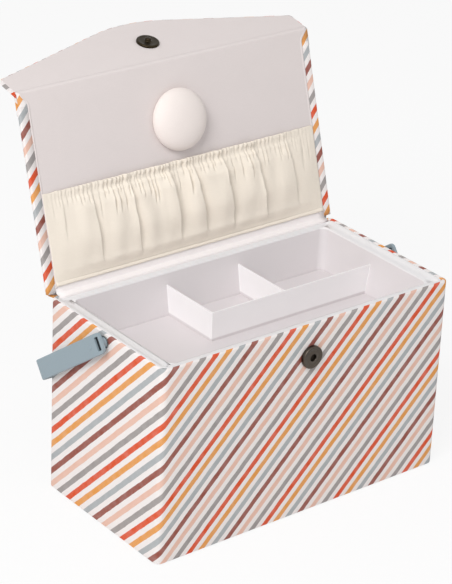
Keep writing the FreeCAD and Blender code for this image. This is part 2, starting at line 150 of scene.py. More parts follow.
# Places along the lid from the hinge
LID_CLOTH_START = 1.2 * MM
HINGE_STRIP_END = 10.0 * MM
FOLD_STRIP_START = 135.0 * MM
MARGIN_START = 138.5 * MM
LINING_BEND = 141.2 * MM
LID_CLOTH_END = 141.5 * MM
OUTSIDE_FREE = 145.5 * MM
INSIDE_FREE = 146.5 * MM
FOLD_VALLEY = 149.2 * MM
SPREAD_END = 151.0 * MM
MARGIN_RIDGE = 151.45 * MM
LINING_RIDGE = 151.6 * MM

# Places along the flap from the fold
INSIDE_HELD = 1.8 * MM
OUTSIDE_HELD = 2.4 * MM
FLAP_CLOTH_START = 3.4 * MM

# Tray dividers
LONG_DIVIDER_Y = 3.0 * MM
CROSS_DIVIDERS_X = (-35.0 * MM, 34.0 * MM)
DIVIDER_DROP = 9.5 * MM

# Printed stripes
STRIPE_REPEAT = 49.8 * MM
LID_STRIPE_SHIFT = -19.3 * MM


def smooth(share):
    """An eased step from 0 to 1."""
    share = min(1.0, max(0.0, share))
    return share * share * (3 - 2 * share)


def eased_through(levels, at):
    """A smooth curve through pairs of place and height."""
    for (low, first), (high, last) in zip(levels, levels[1:]):
        if at <= high:
            return first + (last - first) * smooth((at - low) / (high - low))
    return levels[-1][1]


# Mesh helpers
Stop = namedtuple("Stop", "far at way")


def evenly(low, high, count):
    """Stops at equal distances along a straight line."""
    step = (high - low) / count
    return [Stop(i * step, low + i * step, 1.0) for i in range(count + 1)]


def rounded_path(corners, rounds, step, bend_steps=6):
    """Stops along straight runs with rounded corners: distance, place and direction."""
    points = [Vector(corner) for corner in corners]
    stops = []

    def add(place, way):
        far = stops[-1].far + (place - stops[-1].at).length if stops else 0.0
        stops.append(Stop(far, place, way))

    def run(end, way):
        start = stops[-1].at
        pieces = max(1, math.ceil((end - start).length / step))
        for i in range(pieces):
            add(start.lerp(end, (i + 1) / pieces), way)

    add(points[0], (points[1] - points[0]).normalized())
    for last, corner, following, radius in zip(points, points[1:], points[2:], rounds):
        way = (corner - last).normalized()
        ahead = (following - corner).normalized()
        turn = math.atan2(way.x * ahead.y - way.y * ahead.x, way.dot(ahead))
        reach = radius * math.tan(abs(turn) / 2)
        run(corner - way * reach, way)
        side = Vector((-way.y, way.x)) * math.copysign(radius, turn)
        middle = stops[-1].at + side
        for i in range(bend_steps):
            spin = Matrix.Rotation(turn * (i + 1) / bend_steps, 2)
            add(middle - spin @ side, spin @ way)
    run(points[-1], (points[-1] - points[-2]).normalized())
    return stops


def shown(shape, name):
    """Turn a bmesh into an object with smooth faces."""
    mesh = bpy.data.meshes.new(name)
    shape.to_mesh(mesh)
    shape.free()
    mesh.shade_smooth()
    piece = bpy.data.objects.new(name, mesh)
    bpy.context.scene.collection.objects.link(piece)
    return piece


def laid_cloth(name, across, along, place, thick, shift=(0.0, 0.0)):
    """A sheet whose UV map holds flat distances and whose points lie where place puts them."""
    shape = bmesh.new()
    columns = len(across) - 1
    rows = len(along) - 1
    bmesh.ops.create_grid(shape, x_segments=columns, y_segments=rows, size=0.5)
    flat = shape.loops.layers.uv.new("flat")
    for face in shape.faces:
        for loop in face.loops:
            column = across[round((loop.vert.co.x + 0.5) * columns)]
            row = along[round((loop.vert.co.y + 0.5) * rows)]
            loop[flat].uv = (column.far + shift[0], row.far + shift[1])
    for vert in shape.verts:
        column = across[round((vert.co.x + 0.5) * columns)]
        row = along[round((vert.co.y + 0.5) * rows)]
        vert.co = place(column, row)
    bmesh.ops.remove_doubles(shape, verts=shape.verts, dist=WELD)
    piece = shown(shape, name)
    wall = piece.modifiers.new("thickness", "SOLIDIFY")
    wall.thickness = thick
    wall.offset = -1
    return piece


def eased_copy(node, name, ease, hard_deg=30):
    """A copy of a CAD solid with its hard edges rounded."""
    flat_deg = 1
    sharp_deg = 40
    shape = bmesh.new()
    shape.from_mesh(frame["nodes"][node].data)
    bmesh.ops.remove_doubles(shape, verts=shape.verts, dist=WELD)
    bmesh.ops.dissolve_limit(
        shape, angle_limit=math.radians(flat_deg), verts=shape.verts, edges=shape.edges, delimit=set())
    hard = [edge for edge in shape.edges if edge.calc_face_angle(0) > math.radians(hard_deg)]
    bmesh.ops.bevel(shape, geom=hard, offset=ease, affect="EDGES", segments=2, profile=0.5,
                    material=-1, clamp_overlap=True)
    piece = shown(shape, name)
    piece.data.set_sharp_from_angle(angle=math.radians(sharp_deg))
    piece.modifiers.new("flat faces", "WEIGHTED_NORMAL")
    return piece


def spun_piece(name, profile, start, axis, steps):
    """A turned piece: its half section, given as radius and height, spun round an axis."""
    axis = axis.normalized()
    turn = Vector((0, 0, 1)).rotation_difference(axis).to_matrix()
    shape = bmesh.new()
    verts = [shape.verts.new(start + turn @ Vector((radius, 0, height))) for radius, height in profile]
    for a, b in zip(verts, verts[1:]):
        shape.edges.new((a, b))
    bmesh.ops.spin(shape, geom=shape.verts[:] + shape.edges[:], cent=start, axis=axis,
                   angle=math.tau, steps=steps, use_merge=True)
    bmesh.ops.remove_doubles(shape, verts=shape.verts, dist=WELD)
    bmesh.ops.recalc_face_normals(shape, faces=shape.faces)
    return shown(shape, name)


# Finishes
def paint(red, green, blue):
    """A linear colour from the values that a screen shows."""
    def linear(value):
        share = value / 255
        return share / 12.92 if share <= 0.04045 else ((share + 0.055) / 1.055) ** 2.4
    return (linear(red), linear(green), linear(blue), 1.0)


class Value:
    """A number that changes over a surface; sums on it add the shader's own maths nodes."""

    def __init__(self, finish, socket):
        self.finish = finish
        self.socket = socket

    def math(self, operation, *others):
        """The result of one maths node."""
        return self.finish.node("ShaderNodeMath", {"operation": operation}, enumerate((self, *others)))

    def __add__(self, other):
        return self.math("ADD", other)

    def __sub__(self, other):
        return self.math("SUBTRACT", other)

    def __rsub__(self, other):
        return self.finish.node("ShaderNodeMath", {"operation": "SUBTRACT"}, enumerate((other, self)))

    def __mul__(self, other):
        return self.math("MULTIPLY", other)

    def __truediv__(self, other):
        return self.math("DIVIDE", other)

    __radd__ = __add__
    __rmul__ = __mul__

    def fraction(self):
        """What is left after the whole number."""
        return self.math("FRACT")

    def size(self):
        """The number without its sign."""
        return self.math("ABSOLUTE")

    def wave(self):
        """The sine of the number."""
        return self.math("SINE")

    def limited(self):
        """The number held between 0 and 1."""
        return self.math("MINIMUM", 1.0).math("MAXIMUM", 0.0)


class Finish:
    """One procedural material, built node by node."""

    def __init__(self, name, settings):
        self.material = bpy.data.materials.new(name)
        self.material.use_nodes = True
        self.tree = self.material.node_tree
        self.shader = self.tree.nodes["Principled BSDF"]
        for socket, value in settings.items():
            self.feed(self.shader.inputs[socket], value)

    def feed(self, socket, value):
        """Link a value to a socket, or set a constant on it."""
        if isinstance(value, Value):
            self.tree.links.new(value.socket, socket)
        else:
            socket.default_value = value

    def node(self, kind, settings=None, inputs=(), output=0):
        """Add a node, set it up, feed its sockets and return one of its outputs."""
        made = self.tree.nodes.new(kind)
        for key, value in (settings or {}).items():
            if key == "stops":
                ramp = made.color_ramp.elements
                while len(ramp) < len(value):
                    ramp.new(0.5)
                for stop, (place, colour) in zip(ramp, value):
                    stop.position = place
                    stop.color = colour
            elif key == "interpolation":
                made.color_ramp.interpolation = value
            else:
                setattr(made, key, value)
        for key, value in (inputs.items() if isinstance(inputs, dict) else inputs):
            self.feed(made.inputs[key], value)
        return Value(self, made.outputs[output])

    def coordinates(self, kind):
        """The vector of the UV map or of the object's own place."""
        return self.node("ShaderNodeTexCoord", output=kind)

    def parts(self, vector):
        """The three numbers of a vector."""
        split = self.node("ShaderNodeSeparateXYZ", inputs={0: vector})
        return [Value(self, socket) for socket in split.socket.node.outputs]

    def stretched(self, vector, scale):
        """A vector scaled by its own amount each way."""
        return self.node("ShaderNodeVectorMath", {"operation": "MULTIPLY"}, {0: vector, 1: scale})

    def mottle(self, vector, scale, detail=2.0, rough=0.5):
        """Soft random patches about zero, from -0.5 to 0.5."""
        return self.node("ShaderNodeTexNoise", {}, {
            "Vector": vector, "Scale": scale, "Detail": detail, "Roughness": rough}) - 0.5

    def mix(self, amount, first, second):
        """A colour between two others."""
        return self.node("ShaderNodeMix", {"data_type": "RGBA"}, {0: amount, 6: first, 7: second}, output=2)

    def shaded(self, colour, amount):
        """A colour made lighter or darker by a value about zero."""
        return self.node("ShaderNodeMix", {"data_type": "RGBA", "blend_type": "MULTIPLY"}, {
            0: 1.0, 6: colour, 7: self.node("ShaderNodeCombineColor", {}, {
                0: amount + 1.0, 1: amount + 1.0, 2: amount + 1.0})}, output=2)

    def bump(self, height, distance, strength=1.0):
        """Raise the surface by a height share of a distance."""
        normal = self.node("ShaderNodeBump", {}, {
            "Strength": strength, "Distance": distance, "Height": height})
        self.feed(self.shader.inputs["Normal"], normal)

    def wear(self, socket, value):
        """Feed a socket of the surface shader."""
        self.feed(self.shader.inputs[socket], value)


def weave(u, v, pitch):
    """Height of a plain weave: threads that pass over and under each other."""
    turn = math.pi / pitch
    return (u * turn).wave() * (v * turn).wave()


HANDLE_TINT = paint(144, 159, 167)


def striped_cloth():
    """White cotton printed with a slanting repeat of six painted stripes."""
    base = paint(239, 233, 231)
    inks = (paint(150, 84, 72), paint(230, 188, 170), paint(158, 152, 150),
            paint(218, 84, 44), paint(228, 156, 80), paint(172, 176, 178))
    phase = 0.021
    half_width_share = 0.255
    edge_softness = 30.0
    thread_pitch = 0.36 * MM
    relief = 0.06 * MM
    broad_sway = 1.1 * MM
    fine_sway = 0.5 * MM
    finish = Finish("striped cloth", {"Roughness": 0.85, "Specular IOR Level": 0.25})
    flat = finish.coordinates("UV")
    u, v = finish.parts(flat)[:2]
    sway = finish.mottle(flat, 95.0) * broad_sway + finish.mottle(flat, 420.0) * fine_sway
    turns = (u - v + sway) / (STRIPE_REPEAT * math.sqrt(2)) + phase
    band = turns.fraction() * len(inks) + 0.5
    stops = [(i / len(inks), ink) for i, ink in enumerate(inks)]
    ink = finish.node("ShaderNodeValToRGB", {"stops": stops, "interpolation": "CONSTANT"},
                      {0: (band / len(inks)).fraction()})
    off_middle = (band.fraction() - 0.5).size()
    covered = ((half_width_share - off_middle) * edge_softness + 0.5).limited()
    density = 0.95 + finish.mottle(flat, 140.0, 3.0) * 0.30
    threads = weave(u, v, thread_pitch)
    colour = finish.mix(covered * density, base, ink)
    # The weave term paints shade between the threads and light on their tops; the fine mottle is random
    # tone.
    colour = finish.shaded(colour, threads * 0.035 + finish.mottle(flat, 900.0) * 0.06)
    finish.wear("Base Color", colour)
    finish.bump(threads + finish.mottle(flat, 1500.0) * 0.7, relief, 0.6)
    return finish.material


def plain_cloth(name, tint, pitch, relief, sheen=0.0, creases=0.0):
    """Unprinted woven cloth."""
    slub_stretch = (1.0, 14.0, 1.0)
    finish = Finish(name, {"Roughness": 0.9, "Specular IOR Level": 0.2, "Sheen Weight": sheen})
    flat = finish.coordinates("UV")
    u, v = finish.parts(flat)[:2]
    threads = weave(u, v, pitch)
    slubs = finish.mottle(finish.stretched(flat, slub_stretch), 160.0)
    # The weave term paints shade between the threads and light on their tops; slubs and mottle are random
    # tone.
    colour = finish.shaded(tint, threads * 0.03 + slubs * 0.05 + finish.mottle(flat, 45.0) * 0.03)
    finish.wear("Base Color", colour)
    finish.bump(threads + slubs * 0.8 + finish.mottle(flat, 60.0) * creases, relief)
    return finish.material


def solid_finish(name, tint, settings, grain, relief, shade=0.06):
    """A plain material with fine grain, on the object's own coordinates."""
    finish = Finish(name, settings)
    place = finish.coordinates("Object")
    fine = finish.mottle(place, grain, 4.0, 0.6)
    broad = finish.mottle(place, grain / 12)
    finish.wear("Base Color", finish.shaded(tint, fine * shade + broad * shade))
    finish.wear("Roughness", settings["Roughness"] + fine * 0.12 + broad * 0.08)
    finish.bump(fine, relief, 0.5)
    return finish.material


def pin_plastic():
    """Pins in the handle's colour, with the keys that fill its slots painted near-black as painted shade
    inside the slots.
    """
    slot_shade_depth = 1.2 * MM
    fade = 0.5 * MM
    relief = 0.015 * MM
    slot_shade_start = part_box("handle_pin_right")[1].x - slot_shade_depth
    finish = Finish("pin plastic", {"Roughness": 0.5, "Specular IOR Level": 0.3})
    place = finish.coordinates("Object")
    x = finish.parts(place)[0]
    # Mask of the painted shade on the key's outer end.
    key = ((x.size() - slot_shade_start) * (1 / fade) + 0.5).limited()
    fine = finish.mottle(place, 700.0, 4.0, 0.6)
    # Near-black: painted shade of the slot's recess, put on the key.
    colour = finish.mix(key, HANDLE_TINT, paint(10, 20, 26))
    finish.wear("Base Color", finish.shaded(colour, fine * 0.08))
    finish.wear("Roughness", 0.5 + fine * 0.12)
    finish.bump(fine, relief, 0.5)
    return finish.material


def tray_plastic():
    """Milky plastic with painted light: the thin dividers painted lighter as if lit through, a painted
    highlight along the top edge, and painted shade on the floor.
    """
    low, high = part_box("tray")
    wall = paint(225, 220, 221)
    # Painted light: the thin dividers are drawn lighter than the walls, as if lit through.
    thin = paint(249, 246, 247)
    # Painted highlight along the tray's top edge.
    edge = paint(242, 240, 241)
    # Painted shade on the tray's floor.
    floor = paint(217, 211, 212)
    half_divider = 0.9 * MM
    divider_fade = 0.25 * MM
    level_fade = 1.0 * MM
    painted_highlight_height = 1.2 * MM
    end_lap = 1.0 * MM
    top_lap = 0.5 * MM
    relief = 0.01 * MM
    floor_top = low.z + 3.0 * MM
    finish = Finish("tray plastic", {
        "Roughness": 0.40, "Specular IOR Level": 0.45, "Subsurface Weight": 0.25,
        "Subsurface Radius": (1.0, 1.0, 1.0), "Subsurface Scale": 1.5 * MM})
    place = finish.coordinates("Object")
    x, y, z = finish.parts(place)

    def within(value, middle):
        return ((half_divider - (value - middle).size()) * (1 / divider_fade) + 0.5).limited()

    def above(value, level):
        return ((value - level) * (1 / level_fade)).limited()

    def below(value, level):
        return ((level - value) * (1 / level_fade)).limited()

    # Mask of the dividers' painted light.
    clear = within(y, LONG_DIVIDER_Y) * above(x, CROSS_DIVIDERS_X[0] - end_lap)
    for at in CROSS_DIVIDERS_X:
        clear = clear + within(x, at) * above(y, LONG_DIVIDER_Y - end_lap)
    under_top = below(z, high.z - DIVIDER_DROP + top_lap)
    clear = (clear * under_top * above(z, floor_top)).limited()
    # Mixes in the floor's painted shade, the dividers' painted light and the top edge's painted highlight.
    body = finish.mix(below(z, floor_top), finish.mix(clear, wall, thin), floor)
    colour = finish.mix(above(z, high.z - painted_highlight_height), body, edge)
    fine = finish.mottle(place, 500.0, 4.0, 0.6)
    broad = finish.mottle(place, 40.0)
    finish.wear("Base Color", finish.shaded(colour, fine * 0.02 + broad * 0.03))
    finish.wear("Roughness", 0.40 + fine * 0.12 + broad * 0.08)
    finish.bump(fine + broad * 2.0, relief, 0.5)
    return finish.material


STRIPED = striped_cloth()
LINING = plain_cloth("plain lining", paint(226, 217, 215), 0.30 * MM, 0.03 * MM)
STRIP = plain_cloth("hinge lining cloth", paint(246, 240, 239), 0.34 * MM, 0.03 * MM, 0.0, 10.0)
CREAM = plain_cloth("cream cloth", paint(242, 232, 218), 0.34 * MM, 0.04 * MM, 0.1)
CUSHION = plain_cloth("cushion cloth", paint(241, 231, 226), 0.34 * MM, 0.03 * MM, 0.1)
TRAY = tray_plastic()
HANDLE = solid_finish("handle plastic", HANDLE_TINT, {
    "Roughness": 0.45, "Specular IOR Level": 0.35}, 700.0, 0.015 * MM)
PIN = pin_plastic()
SNAP = solid_finish("snap metal", paint(84, 77, 70), {
    "Roughness": 0.36, "Metallic": 1.0}, 900.0, 0.02 * MM, 0.5)
DARK_SNAP = solid_finish("dark snap metal", paint(52, 44, 32), {
    "Roughness": 0.36, "Metallic": 1.0}, 900.0, 0.02 * MM, 0.5)
EYELET = solid_finish("eyelet metal", paint(176, 176, 174), {
    "Roughness": 0.3, "Metallic": 1.0}, 900.0, 0.01 * MM)
WASHER = solid_finish("washer metal", paint(168, 168, 164), {
    "Roughness": 0.4, "Metallic": 1.0}, 900.0, 0.01 * MM)
GREYBOARD = solid_finish("greyboard", paint(168, 160, 148), {"Roughness": 0.95}, 1200.0, 0.05 * MM, 0.2)
LINER_CARD = solid_finish("liner card", paint(236, 234, 230), {"Roughness": 0.85}, 1100.0, 0.03 * MM)
BASE_PAPER = solid_finish("base paper", paint(226, 222, 214), {"Roughness": 0.9}, 900.0, 0.04 * MM, 0.1)


def finished(piece, finish, body=None):
    """Give a piece its finish and let it ride on a body."""
    piece.data.materials.append(finish)
    if body:
        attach(piece, body)
    return piece


# Printed cloth
def box_cloth():
    """Printed cloth round the walls, from under the base, over the rim and down inside."""
    loop = [(0, HALF_DEPTH), (-HALF_WIDTH, HALF_DEPTH), (-HALF_WIDTH, -HALF_DEPTH),
            (HALF_WIDTH, -HALF_DEPTH), (HALF_WIDTH, HALF_DEPTH), (0, HALF_DEPTH)]
    section = [(-TURN_UNDER, HEM_LEVEL), (0, HEM_LEVEL), (0, RIM_LEVEL), (-RIM_WIDTH, RIM_LEVEL),
               (-RIM_WIDTH, RIM_LEVEL - TURN_IN)]
    across = rounded_path(loop, [CORNER_ROUND] * 4, COARSE_STEP)
    along = rounded_path(section, [HEM_ROUND, RIM_ROUND, RIM_ROUND], COARSE_STEP)

    def place(round_box, up_wall):
        out = Vector((round_box.way.y, -round_box.way.x))
        inset, level = up_wall.at
        spot = round_box.at + out * inset
        x_limit = HALF_WIDTH + inset
        y_limit = HALF_DEPTH + inset
        return Vector((max(-x_limit, min(x_limit, spot.x)), max(-y_limit, min(y_limit, spot.y)), level))

    foot = next(stop for stop in along if stop.at.x == 0)
    girth = across[-1].far
    piece = laid_cloth("box_cloth", across, along, place, CLOTH, (-girth / 2, foot.at.y - foot.far))
    finished(piece, STRIPED, "box")
    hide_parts("outer_cover")


def lid_section():
    """Stops round the lid, from one margin of its lined face over the outside to the other margin."""
    margin = LINING_HALF - LID_MARGIN_LAP
    section = [(margin, 0), (LID_HALF, 0), (LID_HALF, LID_THICK), (-LID_HALF, LID_THICK), (-LID_HALF, 0),
               (-margin, 0)]
    return rounded_path(section, [EDGE_ROUND] * 4, COARSE_STEP)


def lid_cloth():
    """Printed cloth over the lid, turned round its side edges to the margins of the lined face."""
    across = lid_section()
    girth = across[-1].far
    runs = evenly(LID_CLOTH_START, LID_CLOTH_END, 24)
    along = [Stop(-LID_THICK / 2, LID_CLOTH_START, 0.0)] + runs

    def place(round_lid, up_lid):
        out = round_lid.at.y if up_lid.way else LID_THICK / 2
        return on_lid(round_lid.at.x, up_lid.at, out)

    piece = laid_cloth("lid_cloth", across, along, place, CLOTH,
                       (LID_STRIPE_SHIFT - girth / 2, LID_CLOTH_START))
    finished(piece, STRIPED, "lid")
    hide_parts("lid_cover")


def blend_inside(piece):
    """Bake the placement of cloth on the inside of the fold into its mesh."""
    tuple(on_lid(0, INSIDE_FREE, 0))
    tuple(on_flap(0, INSIDE_HELD, FLAP_FACE))
    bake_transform(piece)


def fold_margin():
    """Printed cloth turned in at the fold, which shows beside the lining up to the ridge."""
    under_lid_lining = 0.2 * MM
    under_ridge = 0.35 * MM
    under_flap_lining = 0.15 * MM
    flap_lap = 0.5 * MM
    ridge_round = 1.3 * MM
    half = LID_HALF - 0.05 * MM
    section = [lid_side(MARGIN_START, under_lid_lining), lid_side(MARGIN_RIDGE, under_ridge),
               flap_side(FLAP_LINING_START + flap_lap, FLAP_FACE + under_flap_lining)]
    along = rounded_path(section, [ridge_round], LINING_STEP)
    margin = LINING_HALF - LID_MARGIN_LAP
    girth = lid_section()[-1].far
    across = []
    for stop in evenly(-half, half, 60):
        side = 1 if stop.at > 0 else -1
        across.append(Stop(stop.at - side * (margin + girth / 2), stop.at, 1.0))

    def place(over, up):
        return Vector((over.at, up.at.x, up.at.y))

    piece = laid_cloth("fold_margin_cloth", across, along, place, LINING_CLOTH,
                       (LID_STRIPE_SHIFT, MARGIN_START))
    finished(piece, STRIPED)
    blend_inside(piece)


def bent_strip(name, half_width, section, rounds, finish, slot, thick, shift, flare=None, step=FINE_STEP):
    """A strip of cloth across the box that follows a section drawn in Y and Z, from its lid end."""
    along = rounded_path(section, rounds, step)
    total = along[-1].far
    print_way = -1 if slot == "striped_cloth" else 1
    across = [stop._replace(far=print_way * stop.at * half_width) for stop in evenly(-1.0, 1.0, 40)]

    def place(over, up):
        half = half_width if flare is None else half_width + flare(up.far / total)
        return Vector((over.at * half, up.at.x, up.at.y))

    piece = laid_cloth(name, across, along, place, thick, shift)
    finished(piece, finish)
    return piece, (2 * half_width, total)


def hinge_cloth():
    """Printed strip that bends from the back wall to the outside of the lid."""
    wall = HALF_DEPTH + CLOTH
    strip_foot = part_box("hinge_cloth")[0].z
    bend_start = RIM_LEVEL - 3.5 * MM
    wall_top = bend_start + 1.5 * MM
    outside = LID_THICK + 0.2 * MM
    lid_foot = 0.5 * MM
    lid_held = 2.0 * MM
    bends = [2.5 * MM, 2.0 * MM]
    section = [lid_side(HINGE_STRIP_END, outside), lid_side(lid_foot, outside), (wall, wall_top),
               (wall, strip_foot)]

    def clear_of_corner(share):
        return -CORNER_ROUND * smooth((share - 0.25) / 0.25)

    piece, flat = bent_strip("hinge_cloth_strip", HALF_WIDTH, section, bends, STRIPED, "striped_cloth",
                             -CLOTH, (LID_STRIPE_SHIFT, 0), clear_of_corner)
    for corner in piece.data.uv_layers["flat"].data:
        corner.uv.y = HINGE_STRIP_END - corner.uv.y
    tuple(on_lid(0, lid_held, LID_THICK))
    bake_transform(piece)
    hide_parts("hinge_cloth")


def fold_cloth():
    """Printed cloth across the outside of the fold, with its print spread for the closed flap."""
    outside = LID_THICK + 0.15 * MM
    valley_round = 0.8 * MM
    section = [lid_side(FOLD_STRIP_START, outside), lid_side(FOLD_VALLEY, outside),
               flap_side(FLAP_CLOTH_START, FLAP_BACK_FACE)]
    piece, flat = bent_strip("fold_cloth_strip", LID_HALF, section, [valley_round], STRIPED, "striped_cloth",
                             -CLOTH, (LID_STRIPE_SHIFT, FOLD_STRIP_START), step=FOLD_STEP)
    flap_start = FOLD_REACH + FLAP_CLOTH_START
    spread = (flap_start - OUTSIDE_FREE) / (FOLD_STRIP_START + flat[1] - OUTSIDE_FREE)
    for corner in piece.data.uv_layers["flat"].data:
        corner.uv.y += max(0.0, corner.uv.y - OUTSIDE_FREE) * (spread - 1)
    tuple(on_lid(0, OUTSIDE_FREE, LID_THICK))
    tuple(on_flap(0, OUTSIDE_HELD, FLAP_BACK_FACE))
    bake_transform(piece)
    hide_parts("fold_cloth")


def flap_cloth():
    """Printed cloth over the flap's outside and edges."""
    piece = eased_copy("flap_cover", "flap_cloth", CLOTH_EASE)
    flat = piece.data.uv_layers.new(name="flat").data
    for loop in piece.data.loops:
        spot = piece.data.vertices[loop.vertex_index].co
        drop = (spot - FOLD).dot(FLAP_OUT) - FLAP_BACK_FACE
        reach = FOLD_REACH + (spot - FOLD).dot(FLAP_ALONG)
        flat[loop.index].uv = (LID_STRIPE_SHIFT - spot.x, reach - drop)
    finished(piece, STRIPED, "flap")
    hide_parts("flap_cover")


# Linings
def lid_lining():
    """Plain lining with a hem along both sides: up the lid, over the ridge and down to the flap."""
    hem = 1.6 * MM
    hem_rise = 0.3 * MM
    hem_shares = (0.0, 0.08, 0.25, 0.5, 0.75, 0.92, 1.0, 1.3)
    proud = 0.12 * MM
    ridge_sink = 0.1 * MM
    flap_lap = 0.7 * MM
    flap_proud = 0.2 * MM
    bends = [0.8 * MM, 1.5 * MM]
    spread_run = 9.0 * MM
    ridge_margin = 2.4 * MM
    last_run = 3.0 * MM
    last_gain = 2.0 * MM
    start = POCKET_FOOT - 4.0 * MM
    ridge = SPREAD_END - start
    section = [lid_side(start, -proud), lid_side(LINING_BEND, -proud), lid_side(LINING_RIDGE, ridge_sink),
               flap_side(FLAP_LINING_START + flap_lap, FLAP_FACE - flap_proud)]
    along = rounded_path(section, bends, LINING_STEP)
    edge = [LINING_HALF - share * hem for share in hem_shares]
    clear_of_hem = LINING_HALF - 2.5 * hem
    middle = [stop.at for stop in evenly(-clear_of_hem, clear_of_hem, 30)]
    across = [Stop(x, x, 1.0) for x in [-x for x in edge] + middle + edge[::-1]]

    def place(over, up):
        spread = smooth((up.far - ridge + spread_run) / spread_run)
        last = smooth((up.far - ridge) / last_run)
        half = LINING_HALF + (LID_HALF - ridge_margin - LINING_HALF) * spread + last_gain * last
        inside = (LINING_HALF - abs(over.at)) / hem
        lift = hem_rise * math.sqrt(max(0.0, 1 - (2 * inside - 1) ** 2)) if inside < 1 else 0.0
        lift *= 1 - 0.8 * spread
        return Vector((over.at * half / LINING_HALF, up.at.x - up.way.y * lift, up.at.y + up.way.x * lift))

    piece = laid_cloth("lid_lining_sheet", across, along, place, LINING_CLOTH)
    finished(piece, LINING)
    blend_inside(piece)
    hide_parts("lid_lining", "fold_lining")


def flap_lining():
    """Plain lining of the flap, a little proud of the printed edge."""
    piece = eased_copy("flap_lining", "flap_lining_sheet", LINING_EASE)
    proud = 0.12 * MM
    piece.data.transform(Matrix.Translation(FLAP_OUT * -proud))
    flat = piece.data.uv_layers.new(name="flat").data
    for loop in piece.data.loops:
        spot = piece.data.vertices[loop.vertex_index].co
        flat[loop.index].uv = (spot.x, (spot - FOLD).dot(FLAP_ALONG))
    finished(piece, LINING, "flap")
    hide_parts("flap_lining")


def hinge_lining():
    """Pale strip from the foot of the lid over the back rim and down behind the tray."""
    level = RIM_LEVEL + 0.3 * MM
    inside = HALF_DEPTH - RIM_WIDTH - 0.3 * MM
    tail = RIM_LEVEL - TURN_IN + 2.0 * MM
    proud = 0.15 * MM
    lid_end = 9.0 * MM
    lid_foot = 0.4 * MM
    lid_held = 2.5 * MM
    bends = [0.9 * MM, 1.2 * MM]
    section = [lid_side(lid_end, -proud), lid_side(lid_foot, -proud), (inside, level), (inside, tail)]
    piece, flat = bent_strip("hinge_lining_strip", LINING_HALF, section, bends, STRIP, "cream_cloth",
                             -LINING_CLOTH, (0, 0))
    tuple(on_lid(0, lid_held, 0))
    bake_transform(piece)
    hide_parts("hinge_lining")


# Gathered pocket: main folds from left to right, as place at the elastic, place at the foot,
# share of the height that the fold runs down, depth and width
MAIN_FOLDS = (
    (-112.5, -116.0, 0.50, 0.36, 5.5), (-87.5, -86.0, 0.92, 0.54, 8.5), (-53.0, -51.0, 0.97, 0.58, 9.5),
    (-15.5, -13.5, 0.97, 0.56, 9.5), (6.5, 11.5, 0.95, 0.52, 8.0), (35.0, 37.5, 1.00, 0.62, 10.0),
    (67.0, 70.5, 0.95, 0.62, 10.0), (100.5, 103.5, 0.88, 0.54, 8.5), (113.0, 112.0, 0.45, 0.34, 5.5))
POCKET_LEVELS = ((0.0, 0.04), (0.14, 0.58), (0.42, 1.0), (0.72, 0.78), (0.86, 0.46), (0.905, 0.22),
                 (0.935, 0.24), (0.97, 0.40), (1.0, 0.40))
ELASTIC_SHARE = 0.905
POCKET_STAND = 7.6 * MM
POCKET_LEAST_STAND = 0.7 * MM
POCKET_COLUMNS = 420
POCKET_ROWS = 72
HEADER_PITCH = 4.0 * MM
HEADER_RIPPLE = 0.6 * MM
HEADER_RAGGED = 0.5 * MM
GATHER_REACHES = (0.09, 0.11, 0.14, 0.18, 0.24, 0.34)


def pleat(gap):
    """Dip of a fold across its width: a low crest on its left, a sharp drop, then a slow rise."""
    crest = 0.38
    dip = 1.30
    drop_run = 0.14
    rise_run = 1.1
    if gap < 0:
        return -crest * math.exp(gap)
    return math.exp(-gap / rise_run) * (dip - (dip + crest) * math.exp(-gap / drop_run))


def pocket_folds():
    """All folds of the pocket: the main ones and the small gathers that the elastic makes."""
    draw = random.Random(7)
    end = POCKET_HALF - 3.0 * MM
    folds = [(top * MM, foot * MM, reach, depth, width * MM)
             for top, foot, reach, depth, width in MAIN_FOLDS]
    x = -end
    while x < end:
        lean = draw.uniform(-3.0, 3.0) * MM
        reach = draw.choice(GATHER_REACHES)
        folds.append((x, x + lean, reach, draw.uniform(0.35, 0.75), draw.uniform(0.9, 1.7) * MM))
        x += draw.uniform(2.6, 4.8) * MM
    return folds


def drift(x, width, share, seed):
    """Slow random change across the cloth, from about -0.5 to 0.5."""
    return noise.noise(Vector((x / width, share, seed)))


def gathered_pocket(hem):
    """Cream cloth drawn up by an elastic: deep folds below it and a ruffled header above."""
    broad = 13.0 * MM
    middling = 12.0 * MM
    narrow = 6.0 * MM
    folds = pocket_folds()
    height = POCKET_TOP - POCKET_FOOT
    across = evenly(-POCKET_HALF, POCKET_HALF, POCKET_COLUMNS)
    along = [stop._replace(far=stop.far * height) for stop in evenly(0.0, 1.0, POCKET_ROWS)]

    def fullness(x, share):
        full = 1.0
        for top, foot, reach, depth, width in folds:
            middle = foot + (top - foot) * share
            gap = (x - middle) / (width * (1.2 - 0.4 * share))
            if -4 < gap < 5:
                hold = smooth((share - (ELASTIC_SHARE - reach)) / (0.35 * reach + 0.04))
                full *= 1 - depth * hold * pleat(gap)
        return full * (1 + 0.45 * drift(x, broad, share * 1.3, 3.0))

    def place(over, up):
        x = over.at
        share = up.at
        fade = 1 - abs(x / POCKET_HALF) ** 3
        stand = POCKET_STAND * fade * eased_through(POCKET_LEVELS, share) * fullness(x, share)
        header = max(0.0, (share - ELASTIC_SHARE) / (1 - ELASTIC_SHARE))
        ripple = math.sin(math.tau * (x / HEADER_PITCH + 1.1 * drift(x, middling, 0.0, 9.0)))
        stand += POCKET_LEAST_STAND + (1 - abs(2 * header - 1)) * fade * HEADER_RIPPLE * ripple
        rise = header * HEADER_RAGGED * drift(x, narrow, 5.0, 0.0)
        return on_lid(x, POCKET_FOOT + share * height + rise, -stand)

    piece = laid_cloth("gathered_pocket", across, along, place, LINING_CLOTH)
    finished(piece, CREAM, "lid")
    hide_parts("pocket", "pocket_elastic")


